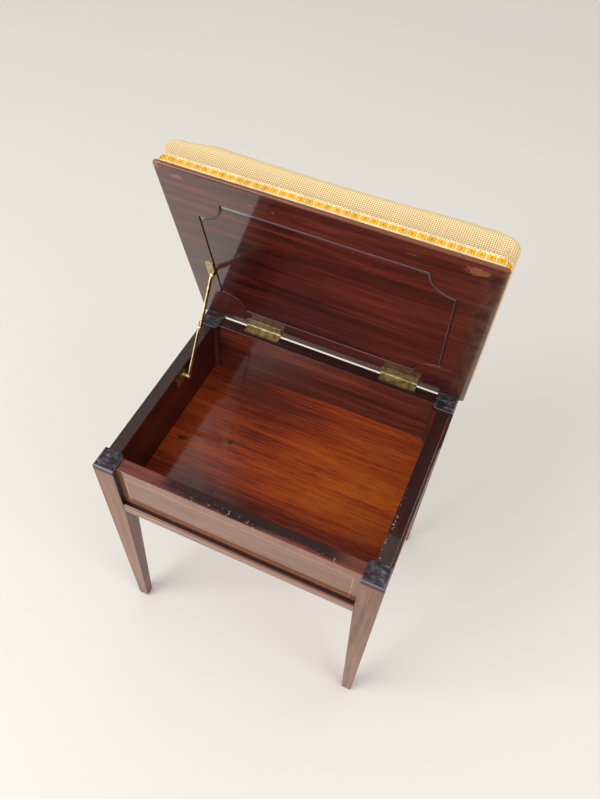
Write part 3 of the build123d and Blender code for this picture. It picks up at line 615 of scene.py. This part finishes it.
def floor_board_material(colours):
    """Well floor: glossy orange-brown with dark red streaks, a flame figure on the right, painted shade
    towards its walls and a painted reflection at its far left.
    """
    graph = Graph("well_boards", colours)
    x, y, _ = graph.split(graph.place)
    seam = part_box("floor_board_back")[0].y
    shift = graph.times(graph.math("GREATER_THAN", y, seam), BOARD_SHIFT)
    moved = graph.node("CombineXYZ", {0: graph.plus(x, shift), 1: y})
    graph.place = moved.outputs[0]
    flame = graph.noise((3.0, 15.0, 1.0), distortion=0.8)
    lines = graph.noise((5.0, 190.0, 1.0), roughness=0.6, distortion=0.4)
    fine = graph.noise((18.0, 640.0, 1.0))
    # Painted shade, darker away from the middle line towards the well's walls
    edges = graph.band(graph.math("ABSOLUTE", graph.minus(y, WELL_MIDDLE)), *WELL_WALL_SHADE)
    tone = graph.plus(graph.times(flame, 0.40), graph.times(lines, 0.36), graph.times(fine, 0.26))
    # Painted reflection: a paler band at the far left
    tone = graph.plus(tone, graph.band(x, *WELL_RIGHT), graph.band(x, *WELL_LEFT_REFLECTION), edges)
    colour = graph.ramp(tone, (0.38, "board_dark"), (0.49, "board_mid"), (0.66, "board_light"))
    pores = graph.noise((34.0, 900.0, 1.0), detail=2.0)
    colour = graph.tint(colour, "board_dark", graph.band(pores, 0.50, 0.66, 0.0, 0.55))
    smudge = graph.noise((220.0, 260.0, 1.0))
    for place, size in WELL_KNOTS:
        knot = graph.spot(x, y, place, size, smudge)
        colour = graph.tint(colour, "worn_black_and_shade", knot, 0.85)
    speck = graph.noise(420.0, detail=0.0)
    colour = graph.tint(colour, "worn_black_and_shade", graph.band(speck, 0.76, 0.80), 0.7)
    return graph.polish(colour, fine, coat_roughness=0.10)


def line_material(colours):
    """Boxwood line with short darker breaks."""
    graph = Graph("boxwood_line", colours)
    breaks = graph.noise(120.0, detail=2.0)
    colour = graph.mix(graph.band(breaks, 0.24, 0.50), "rail_mid", "line_wood")
    return graph.polish(colour, breaks)


def brass_material(name, tone, tarnish, roughness):
    """Aged brass, clouded with tarnish and finely scratched."""
    graph = Graph(name)
    cloud = graph.noise(130.0, detail=4.0, roughness=0.6)
    scratch = graph.noise((90.0, 1400.0, 1400.0), detail=2.0)
    dull = tuple(channel * tarnish for channel in tone)
    colour = graph.mix(graph.band(cloud, 0.36, 0.62), dull, tone)
    uneven = graph.math("MULTIPLY_ADD", cloud, 0.25, roughness - 0.12)
    return graph.finish(
        Base_Color=colour,
        Metallic=1.0,
        Roughness=uneven,
        Normal=graph.bump(scratch, 0.08, 0.0002),
    )


def steel_material(colours):
    """Blued steel of the tacks."""
    graph = Graph("blued_steel", colours)
    cloud = graph.noise(300.0, detail=2.0)
    colour = graph.mix(cloud, "tack_dark", "tack_light")
    return graph.finish(Base_Color=colour, Metallic=1.0, Roughness=0.45)


# Waves of the weave's threads, and the heights above the foot and below the top between which the
# painted shade lightens
WEAVE = {"Scale": 112.0, "Distortion": 0.6, "Detail": 1.0, "Detail Scale": 1.5}
SHADE_FOOT = 0.016
SHADE_TOP = 0.004


def canvas_material(colours):
    """Open tan weave with slubs, with painted shade low on the sides."""
    graph = Graph("seat_canvas", colours, of_lid=True)
    uv = graph.node("UVMap", uv_map="weave").outputs["UV"]
    thread = {"Vector": uv, **WEAVE}
    warp = graph.node("TexWave", thread, bands_direction="X").outputs["Fac"]
    weft = graph.node("TexWave", thread, bands_direction="Y").outputs["Fac"]
    weave = graph.times(graph.plus(warp, weft), 0.5)
    gaps = graph.band(weave, 0.22, 0.46)
    warp_slub = graph.noise((12.0, 420.0, 1.0), detail=2.0, vector=uv)
    weft_slub = graph.noise((420.0, 12.0, 1.0), detail=2.0, vector=uv)
    slub = graph.most(warp_slub, weft_slub)
    shade_noise = graph.noise(9.0, detail=4.0)
    _, _, z = graph.split(graph.place)
    low, high = closed_box("seat_cover")
    # Painted shade: the canvas darkens towards the seat's foot, broken up by a noise
    unshaded = graph.band(z, low.z + SHADE_FOOT, high.z - SHADE_TOP, to_high=0.8)
    unshaded = graph.math("ADD", unshaded, graph.times(shade_noise, 0.3), clamp=True)
    tone = graph.mix(unshaded, "canvas_shade", "canvas")
    tone = graph.mix(graph.band(slub, 0.56, 0.78, 0.0, 0.5), tone, "canvas")
    colour = graph.mix(gaps, graph.mix(1.0, tone, "weave_shade", "MULTIPLY"), tone)
    height = graph.plus(weave, graph.times(slub, 0.6))
    return graph.finish(
        Base_Color=colour,
        Roughness=0.95,
        Specular_IOR_Level=0.1,
        Sheen_Weight=0.05,
        Normal=graph.bump(height, 0.55, 0.0006),
    )


# Darker side of a braid's thread, as a share of its tone
BRAID_DULL = 0.78


def braid_material(name, tone, twist):
    """Silky thread of the braid, with fine twisted ridges."""
    graph = Graph(name, of_lid=True)
    ridge = graph.noise(1500.0, detail=1.0)
    cloud = graph.noise(60.0)
    dull = tuple(channel * BRAID_DULL for channel in tone)
    colour = graph.mix(graph.band(cloud, 0.30, 0.66), dull, tone)
    colour = graph.tint(colour, dull, ridge, twist)
    return graph.finish(
        Base_Color=colour,
        Roughness=0.7,
        Specular_IOR_Level=0.2,
        Normal=graph.bump(ridge, 0.4, 0.0004),
    )


# Distance within which two points or levels count as the same
SAME = 1e-5


# Meshes
def closed_box(node):
    """Lowest and highest corner of a lid node in the closed lid's frame."""
    back = LID_TO_ROW.inverted()
    places = [back @ v.co for v in frame["nodes"][node].data.vertices]
    return [Vector(pick(p[i] for p in places) for i in range(3)) for pick in (min, max)]


def dress(nodes, material):
    """Give CAD nodes a finish."""
    for name in nodes:
        slots = frame["nodes"][name].data.materials
        slots.clear()
        slots.append(material)


def add_object(name, data):
    """Object at the origin for a finished mesh, a light or a camera."""
    made = bpy.data.objects.new(name, data)
    bpy.context.scene.collection.objects.link(made)
    return made


def mesh_of(bm, name):
    """Mesh of a bmesh, which is freed."""
    mesh = bpy.data.meshes.new(name)
    bm.to_mesh(mesh)
    bm.free()
    return mesh


def evaluated_mesh(made):
    """New mesh of an object with its modifiers applied."""
    depsgraph = bpy.context.evaluated_depsgraph_get()
    return bpy.data.meshes.new_from_object(made.evaluated_get(depsgraph))


def cushion_blank(sizes):
    """Rounded box a little smaller than the seat, in the closed lid's frame, and its foot's level."""
    low, high = closed_box("seat_cover")
    foot = closed_box("lid_board")[1].z - sizes.hem
    size = high - low - Vector((2, 2, 0)) * sizes.slack
    size.z = high.z - foot - sizes.drop
    bm = bmesh.new()
    bmesh.ops.create_cube(bm, size=1.0)
    bmesh.ops.scale(bm, vec=size, verts=bm.verts)
    middle = (low + high) / 2
    bmesh.ops.translate(bm, vec=(middle.x, middle.y, foot + size.z / 2), verts=bm.verts)
    uprights = [e for e in bm.edges if abs(e.verts[0].co.z - e.verts[1].co.z) > size.z / 2]
    round_edges(bm, uprights, sizes.corner)
    for level, offset in ((foot + size.z, sizes.shoulder), (foot, sizes.tuck)):
        rim = [e for e in bm.edges if all(abs(v.co.z - level) < SAME for v in e.verts)]
        round_edges(bm, rim, offset)
    return mesh_of(bm, "cushion_blank"), foot


def round_edges(bm, edges, offset, segments=5):
    """Round edges of a bmesh."""
    bmesh.ops.bevel(
        bm, geom=edges, offset=offset, segments=segments, profile=0.5, affect="EDGES", material=-1
    )


def rim_rise(share, sizes):
    """Rise of the seat's rim at a share of the way from the middle of a side to its corner."""
    return sizes.swell * share**2 * (1 - share**6) - sizes.ends * share**6


# How much of the rim's swell the seat's two ends have
SIDE_RIM = 0.4

# Where the seat's left end starts to slump, and over what run, as shares of its half width
SLUMP_FROM = 0.68
SLUMP_RUN = 0.20


def crown(mesh, foot, sizes):
    """Dome the seat's top, swell its rim beside the corners and its ends, and draw in its hem."""
    low, high = closed_box("seat_cover")
    middle = (low + high) / 2
    half = (high - low) / 2
    top = max(v.co.z for v in mesh.vertices)
    for vertex in mesh.vertices:
        level = vertex.co.z - foot
        lift = max(0.0, level / (top - foot) * 2 - 1)
        across = min(1.0, abs(vertex.co.x - middle.x) / half.x)
        along = min(1.0, abs(vertex.co.y - middle.y) / half.y)
        rise = sizes.crown * (1 - across**3) * (1 - along**3)
        rim = rim_rise(across, sizes) * along**4
        rim += SIDE_RIM * rim_rise(along, sizes) * across**4 * (1 - along**4)
        left = min(1.0, max(0.0, (middle.x - vertex.co.x) / half.x - SLUMP_FROM) / SLUMP_RUN)
        slump = sizes.slump * left**2 * (3 - 2 * left)
        vertex.co.z += lift * (rise + rim - slump)
        above = max(0.0, level - sizes.hem)
        drawn = sizes.waist * max(0.0, 1 - above / sizes.roll) ** 2
        share = above / (top - foot - sizes.hem)
        belly = sizes.belly * 4 * share * (1 - share)
        vertex.co.x += (middle.x - vertex.co.x) * (drawn - belly) / half.x
        vertex.co.y += (middle.y - vertex.co.y) * drawn / half.y


# Steps of the swelling, and solver steps in each
SWELL_FRAMES = 20
SWELL_QUALITY = 6


def swell(mesh, foot, sizes):
    """Remesh a blank, swell it under pressure with its hem held, and cap the movement."""
    blank = add_object("cushion_swell", mesh)
    remesh = blank.modifiers.new("Remesh", "REMESH")
    remesh.mode = "VOXEL"
    remesh.voxel_size = sizes.voxel
    fine = evaluated_mesh(blank)
    blank.modifiers.clear()
    blank.data = fine
    crown(fine, foot, sizes)
    before = [v.co.copy() for v in fine.vertices]
    hem = [v.index for v in fine.vertices if v.co.z < foot + sizes.hem]
    blank.vertex_groups.new(name="held").add(hem, 1.0, "REPLACE")
    cloth = blank.modifiers.new("Cloth", "CLOTH")
    cloth.settings.quality = SWELL_QUALITY
    cloth.settings.use_pressure = True
    cloth.settings.uniform_pressure_force = sizes.pressure
    cloth.settings.effector_weights.gravity = 0.0
    cloth.settings.shrink_min = -sizes.growth
    cloth.settings.vertex_group_mass = "held"
    cloth.point_cache.frame_start = 1
    cloth.point_cache.frame_end = SWELL_FRAMES
    scene = bpy.context.scene
    for number in range(1, SWELL_FRAMES + 1):
        scene.frame_set(number)
    full = evaluated_mesh(blank)
    blank.modifiers.clear()
    scene.frame_set(1)
    for vertex, start in zip(full.vertices, before):
        move = vertex.co - start
        if move.length > sizes.cap:
            vertex.co = start + move * (sizes.cap / move.length)
    blank.data = full
    return blank


def box_weave(mesh):
    """UV map in metres, laid on each face from the side that it looks to most."""
    layer = mesh.uv_layers.new(name="weave")
    for face in mesh.polygons:
        normal = [abs(c) for c in face.normal]
        across = normal.index(max(normal))
        axes = [i for i in range(3) if i != across]
        for loop in face.loop_indices:
            place = mesh.vertices[mesh.loops[loop].vertex_index].co
            layer.data[loop].uv = (place[axes[0]], place[axes[1]])


# Outer corner radius of the braid, as in the solid it stands for, and depth of its middle line
BRAID_CORNER = 0.0126
BRAID_INSET = 0.0010


def braid_sides():
    """Middle of the braid, its corner radius and each side's way out, way on, reach and half run."""
    low, high = closed_box("gimp_braid")
    half = (high - low) / 2 - Vector((BRAID_INSET, BRAID_INSET, 0))
    corner = BRAID_CORNER - BRAID_INSET
    sides = []
    for x, y in ((1, 0), (0, 1), (-1, 0), (0, -1)):
        out = Vector((x, y, 0))
        ahead = Vector((-y, x, 0))
        sides.append((out, ahead, abs(out.dot(half)), abs(ahead.dot(half)) - corner))
    return (low + high) / 2, corner, sides


def braid_places(pitch):
    """Place and heading of each repeat of the braid, and the repeat's true length."""
    middle, corner, sides = braid_sides()
    arc = corner * math.pi / 2
    total = sum(2 * half + arc for _, _, _, half in sides)
    count = round(total / pitch)
    places = []
    start = 0.0
    for number, (out, ahead, reach, half) in enumerate(sides):
        turn = number * math.pi / 2
        for i in range(count):
            along = total * (i + 0.5) / count - start
            swing = (along - 2 * half) / corner
            if 0 <= along < 2 * half:
                places.append((middle + out * reach + ahead * (along - half), turn))
            elif 0 <= swing < math.pi / 2:
                centre = middle + out * (reach - corner) + ahead * half
                way = out * math.cos(swing) + ahead * math.sin(swing)
                places.append((centre + way * corner, turn + swing))
        start += 2 * half + arc
    return places, total / count


def make_ring(bm, half_long, half_tall, cord, sides, segments, place, slot):
    """Add one oval ring of cord to a bmesh, in the braid's plane: X outwards, Y along, Z up."""
    turns = [i * 2 * math.pi / sides for i in range(sides)]
    verts = [bm.verts.new((cord * math.cos(a), half_long + cord * math.sin(a), 0.0)) for a in turns]
    edges = [bm.edges.new((verts[i - 1], verts[i])) for i in range(sides)]
    old = set(bm.faces)
    bmesh.ops.spin(
        bm,
        geom=verts + edges,
        cent=(0, 0, 0),
        axis=(1, 0, 0),
        angle=2 * math.pi,
        steps=segments,
        use_merge=True,
    )
    faces = [f for f in bm.faces if f not in old]
    ring = list({v for f in faces for v in f.verts})
    bmesh.ops.scale(bm, vec=(1, 1, half_tall / half_long), verts=ring)
    bmesh.ops.translate(bm, vec=place, verts=ring)
    for face in faces:
        face.material_index = slot


# Rings of one repeat of the braid: half length and place along, as shares of the repeat, half height
# and place up, as shares of the braid's height, place outwards, cord, sides, segments, material slot
BRAID_RINGS = [
    *[(0.20, along, 0.13, 0.35, 0.0006, 1.0, 5, 10, 1) for along in (-0.25, 0.25)],
    *[(0.05, along, 0.08, -0.40, 0.0006, 0.9, 4, 6, 1) for along in (-0.4, -0.2, 0.0, 0.2, 0.4)],
    *[(0.16, along, 0.11, up, 0.0008, 1.3, 4, 7, 2) for along in (-0.20, 0.20) for up in (-0.15, 0.10)],
    (0.09, 0.0, 0.08, -0.03, 0.0010, 1.2, 4, 6, 3),
    (0.07, 0.5, 0.13, -0.03, 0.0007, 1.0, 4, 6, 0),
]


def braid_unit(sizes, pitch, height):
    """One repeat of the braid: two scallops, five beads, four petals, their heart and a link."""
    bm = bmesh.new()
    for long, along, tall, up, out, cord, sides, segments, slot in BRAID_RINGS:
        place = (out, along * pitch, up * height)
        thick = cord * sizes.gimp_cord
        make_ring(bm, long * pitch, tall * height, thick, sides, segments, place, slot)
    return mesh_of(bm, "braid_unit")


# Section of the braid's band: outwards in metres, and height as a share of the braid's height
BAND_SECTION = [
    (-0.0006, -0.46), (0.0001, -0.50), (0.0005, -0.32), (0.0007, 0.0),
    (0.0005, 0.32), (0.0001, 0.48), (-0.0006, 0.44),
]
BAND_CORNER_STEPS = 8


def braid_band(height):
    """Band of the braid: its section drawn along each side and spun round each corner."""
    bm = bmesh.new()
    middle, corner, sides = braid_sides()
    out, ahead, reach, half = sides[0]
    start = middle + out * reach - ahead * half
    verts = [bm.verts.new(start + out * o + Vector((0, 0, h * height))) for o, h in BAND_SECTION]
    edges = [bm.edges.new((verts[i - 1], verts[i])) for i in range(len(verts))]
    for out, ahead, reach, half in sides:
        drawn = bmesh.ops.extrude_edge_only(bm, edges=edges)["geom"]
        verts = [v for v in drawn if isinstance(v, bmesh.types.BMVert)]
        edges = [e for e in drawn if isinstance(e, bmesh.types.BMEdge)]
        edges = [e for e in edges if set(e.verts) <= set(verts)]
        bmesh.ops.translate(bm, vec=ahead * 2 * half, verts=verts)
        turned = bmesh.ops.spin(
            bm,
            geom=verts + edges,
            cent=middle + out * (reach - corner) + ahead * half,
            axis=(0, 0, 1),
            angle=math.pi / 2,
            steps=BAND_CORNER_STEPS,
        )["geom_last"]
        edges = [e for e in turned if isinstance(e, bmesh.types.BMEdge)]
    bmesh.ops.remove_doubles(bm, verts=bm.verts, dist=SAME)
    return mesh_of(bm, "braid_band")


def braid_mesh(sizes):
    """Golden band with cream scallops above, cream beads below and a row of orange rosettes."""
    low, high = closed_box("gimp_braid")
    height = high.z - low.z
    places, pitch = braid_places(sizes.gimp_pitch)
    band = braid_band(height)
    unit = braid_unit(sizes, pitch, height)
    bm = bmesh.new()
    bm.from_mesh(band)
    for place, heading in places:
        before = len(bm.verts)
        bm.from_mesh(unit)
        bm.verts.ensure_lookup_table()
        matrix = Matrix.Translation(place) @ Matrix.Rotation(heading, 4, "Z")
        bmesh.ops.transform(bm, matrix=matrix, verts=bm.verts[before:])
    for part in (band, unit):
        bpy.data.meshes.remove(part)
    bmesh.ops.recalc_face_normals(bm, faces=bm.faces)
    bmesh.ops.transform(bm, matrix=LID_TO_ROW, verts=bm.verts)
    return mesh_of(bm, "gimp")


# Soft lights: where they stand, where they look and their width. Then the floor's shade and the sky
KEY_LIGHT = ((-2.0, -2.1, 2.4), (0.0, 0.0, 0.45), 2.2)
FILL_LIGHT = ((2.5, -0.9, 1.9), (0.0, 0.05, 0.5), 1.8)
FLOOR_SHADE = 0.965
SKY = (1.0, 0.985, 0.96, 1.0)


# Operators
class STOOL_OT_stage(bpy.types.Operator):
    """Lay the studio floor and set the lights and the camera"""

    bl_idname = "stool.stage"
    bl_label = "Stage"

    def execute(self, context):
        stage = context.scene.stool_stage
        colours = context.scene.stool_colours
        bm = bmesh.new()
        bmesh.ops.create_grid(bm, x_segments=1, y_segments=1, size=stage.floor_reach)
        floor = add_object("studio_floor", mesh_of(bm, "studio_floor"))
        graph = Graph("studio_floor")
        cloud = graph.noise(1.2, detail=2.0)
        shade = tuple(channel * FLOOR_SHADE for channel in colours.floor)
        graph.finish(Base_Color=graph.mix(cloud, shade, colours.floor), Roughness=0.55)
        floor.data.materials.append(graph.material)
        self.light("key", *KEY_LIGHT, stage.key_energy)
        self.light("fill", *FILL_LIGHT, stage.fill_energy)
        world = bpy.data.worlds.new("studio")
        world.use_nodes = True
        background = world.node_tree.nodes["Background"]
        background.inputs["Color"].default_value = SKY
        background.inputs["Strength"].default_value = stage.sky_strength
        context.scene.world = world
        context.scene.view_settings.view_transform = "Standard"
        self.camera(context, stage)
        return {"FINISHED"}

    def light(self, name, place, aim, size, energy):
        """Square soft light that looks at a point."""
        data = bpy.data.lights.new(name, "AREA")
        data.energy = energy
        data.size = size
        made = add_object(name, data)
        made.location = place
        made.rotation_euler = (Vector(aim) - Vector(place)).to_track_quat("-Z", "Y").to_euler()

    def camera(self, context, stage):
        """Camera by its yaw, its pitch downwards and its roll."""
        yaw, pitch, roll = stage.camera_yaw, stage.camera_pitch, stage.camera_roll
        turn = Matrix.Rotation(-yaw, 4, "Z") @ Matrix.Rotation(math.pi / 2 - pitch, 4, "X")
        turn @= Matrix.Rotation(-roll, 4, "Z")
        data = bpy.data.cameras.new("camera")
        data.sensor_width = 36.0
        data.lens = stage.camera_lens
        made = add_object("camera", data)
        made.matrix_world = Matrix.Translation(stage.camera_place) @ turn
        context.scene.camera = made


class STOOL_OT_frame(bpy.types.Operator):
    """Polish the legs, the rails, the mouldings and the inlaid line"""

    bl_idname = "stool.frame"
    bl_label = "Frame"

    def execute(self, context):
        colours = context.scene.stool_colours
        dress(LEGS, leg_material(colours))
        dress(["rail_front"], front_rail_material(colours))
        for side in ("back", "left", "right"):
            dress([f"rail_{side}"], rail_material(colours, side))
        dress(["moulding_front", "moulding_back"], moulding_material(colours, 0))
        dress(["moulding_left", "moulding_right"], moulding_material(colours, 1))
        dress(["stringing_front"], line_material(colours))
        return {"FINISHED"}


class STOOL_OT_well(bpy.types.Operator):
    """Polish the floor boards of the music well"""

    bl_idname = "stool.well"
    bl_label = "Music well"

    def execute(self, context):
        boards = floor_board_material(context.scene.stool_colours)
        dress(["floor_board_front", "floor_board_back"], boards)
        return {"FINISHED"}


class STOOL_OT_lid(bpy.types.Operator):
    """Polish the lid board"""

    bl_idname = "stool.lid"
    bl_label = "Lid board"

    def execute(self, context):
        dress(["lid_board"], lid_material(context.scene.stool_colours))
        return {"FINISHED"}


class STOOL_OT_brass(bpy.types.Operator):
    """Finish the hinges, their screws, the stay and the tacks"""

    bl_idname = "stool.brass"
    bl_label = "Brass"

    def execute(self, context):
        colours = context.scene.stool_colours
        dress(HINGE_NODES, brass_material("hinge_brass", colours.hinge_brass, 0.45, 0.42))
        dress(SCREW_NODES, brass_material("screw_brass", colours.hinge_brass, 0.35, 0.45))
        dress(STAY_NODES, brass_material("stay_brass", colours.stay_brass, 0.55, 0.34))
        dress(["cover_tacks"], steel_material(colours))
        return {"FINISHED"}


class STOOL_OT_cushion(bpy.types.Operator):
    """Swell the seat cushion and cover it in canvas"""

    bl_idname = "stool.cushion"
    bl_label = "Seat cushion"

    def execute(self, context):
        sizes = context.scene.stool_sizes
        blank, foot = cushion_blank(sizes)
        cushion = swell(blank, foot, sizes)
        cushion.name = "seat_cushion"
        cushion.data.name = "seat_cushion"
        cushion.vertex_groups.clear()
        cushion.data.shade_smooth()
        box_weave(cushion.data)
        cushion.data.transform(LID_TO_ROW)
        cushion.data.materials.append(canvas_material(context.scene.stool_colours))
        smooth = cushion.modifiers.new("Subdivision", "SUBSURF")
        smooth.levels = 1
        smooth.render_levels = 1
        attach(cushion, "lid")
        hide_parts("seat_cover", "seat_stuffing")
        return {"FINISHED"}


# Threads of the braid in the order of its material slots, and how much their twist shows
BRAID_TWISTS = {"gimp_gold": 0.5, "gimp_cream": 0.3, "gimp_orange": 0.4, "gimp_amber": 0.4}


class STOOL_OT_gimp(bpy.types.Operator):
    """Lay the gimp braid round the foot of the cushion"""

    bl_idname = "stool.gimp"
    bl_label = "Gimp braid"

    def execute(self, context):
        colours = context.scene.stool_colours
        braid = add_object("gimp", braid_mesh(context.scene.stool_sizes))
        braid.data.shade_smooth()
        for name, twist in BRAID_TWISTS.items():
            braid.data.materials.append(braid_material(name, getattr(colours, name), twist))
        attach(braid, "lid")
        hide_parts("gimp_braid")
        return {"FINISHED"}


OPERATORS = (
    STOOL_OT_stage,
    STOOL_OT_frame,
    STOOL_OT_well,
    STOOL_OT_lid,
    STOOL_OT_brass,
    STOOL_OT_cushion,
    STOOL_OT_gimp,
)


class STOOL_PT_panel(bpy.types.Panel):
    """List the pieces of the stool"""

    bl_idname = "STOOL_PT_panel"
    bl_label = "Piano stool"
    bl_space_type = "VIEW_3D"
    bl_region_type = "UI"
    bl_category = "Stool"

    def draw(self, context):
        for operator in OPERATORS:
            self.layout.operator(operator.bl_idname)
        scene = context.scene
        for group in (scene.stool_sizes, scene.stool_colours, scene.stool_stage):
            column = self.layout.column()
            for name in group.__annotations__:
                column.prop(group, name)


CLASSES = (StoolSizes, StoolColours, StoolStage, *OPERATORS, STOOL_PT_panel)


def register():
    """Register the classes and hang the settings on the scene."""
    for kind in CLASSES:
        bpy.utils.register_class(kind)
    bpy.types.Scene.stool_sizes = PointerProperty(type=StoolSizes)
    bpy.types.Scene.stool_colours = PointerProperty(type=StoolColours)
    bpy.types.Scene.stool_stage = PointerProperty(type=StoolStage)


def unregister():
    """Take the settings and the classes away again."""
    del bpy.types.Scene.stool_stage
    del bpy.types.Scene.stool_colours
    del bpy.types.Scene.stool_sizes
    for kind in reversed(CLASSES):
        bpy.utils.unregister_class(kind)


def main():
    """Build every piece in order."""
    register()
    for operator in OPERATORS:
        family, name = operator.bl_idname.split(".")
        getattr(getattr(bpy.ops, family), name)()


if __name__ == "__main__":
    main()
